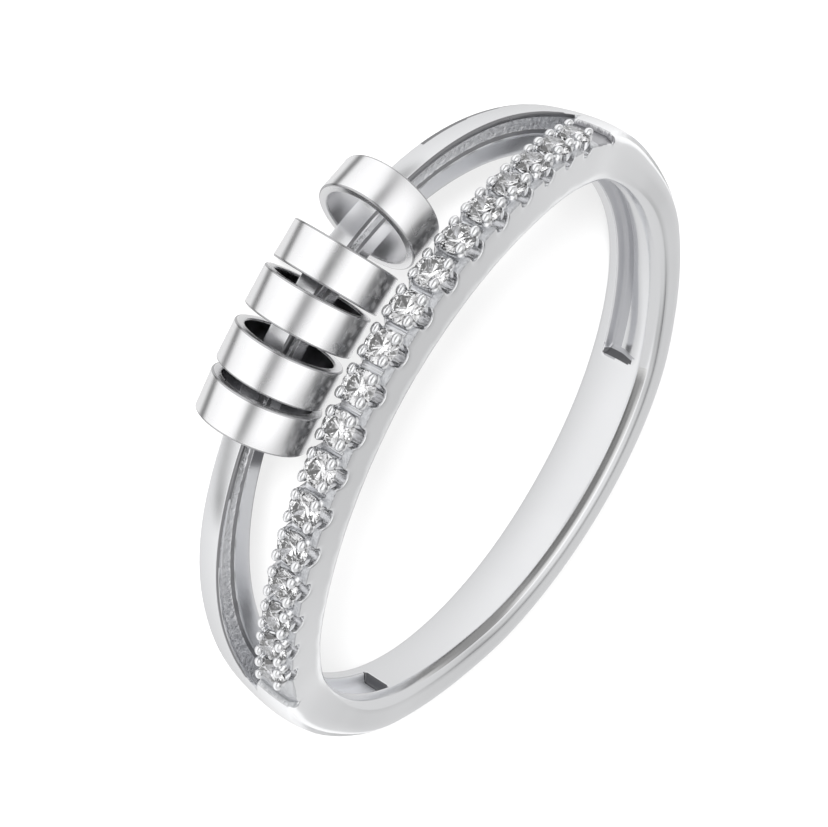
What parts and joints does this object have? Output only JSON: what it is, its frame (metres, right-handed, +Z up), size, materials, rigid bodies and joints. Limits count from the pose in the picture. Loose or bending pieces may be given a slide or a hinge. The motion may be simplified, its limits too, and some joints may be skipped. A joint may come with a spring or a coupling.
{
  "type": "beaded finger ring",
  "caption": "Finger ring whose open front has a rail of small round stones beside a plain rail with loose tube beads that slide and spin.",
  "frame": {"origin": "on the surface that the ring lies on, below the middle of its outer size", "axes": "+Z up from the surface; the open front with stones and beads towards -Y; the ring's own axis leans 4.73 degrees from +Z towards +Y"},
  "size_m": [0.0202, 0.022, 0.0044],
  "materials": {
    "silver": "polished",
    "stone": "polished",
    "bead_silver": "mirror polished"
  },
  "bodies": {
    "ring": {"band": "silver", "stone_01": "stone", "stone_02": "stone", "stone_03": "stone", "stone_04": "stone", "stone_05": "stone", "stone_06": "stone", "stone_07": "stone", "stone_08": "stone", "stone_09": "stone", "stone_10": "stone", "stone_11": "stone", "stone_12": "stone", "stone_13": "stone", "stone_14": "stone", "stone_15": "stone", "stone_16": "stone", "stone_17": "stone", "stone_18": "stone"},
    "bead_1": {"bead_1": "bead_silver"},
    "bead_2": {"bead_2": "bead_silver"},
    "bead_3": {"bead_3": "bead_silver"},
    "bead_4": {"bead_4": "bead_silver"},
    "bead_5": {"bead_5": "bead_silver"}
  },
  "joints": [
    {"name": "bead_1_slide", "type": "hinge", "parent": "ring", "child": "bead_1", "pos_m": [0, 0.0009, 0.00165], "axis": [0, 0.0825, 0.9966], "range_deg": [-18, 0.8]},
    {"name": "bead_2_spin", "type": "hinge", "parent": "ring", "child": "bead_2", "pos_m": [-0.00182, -0.00924, 0.00156], "axis": [0.9978, 0.0356, -0.0555], "continuous": true},
    {"name": "bead_3_spin", "type": "hinge", "parent": "ring", "child": "bead_3", "pos_m": [-0.0005, -0.00939, 0.00157], "axis": [0.9874, 0.136, -0.0813], "continuous": true},
    {"name": "bead_4_spin", "type": "hinge", "parent": "ring", "child": "bead_4", "pos_m": [0.001, -0.00936, 0.00158], "axis": [0.9683, 0.2263, -0.1062], "continuous": true},
    {"name": "bead_5_slide", "type": "hinge", "parent": "ring", "child": "bead_5", "pos_m": [0, 0.0009, 0.00165], "axis": [0, 0.0825, 0.9966], "range_deg": [0, 26]}
  ]
}
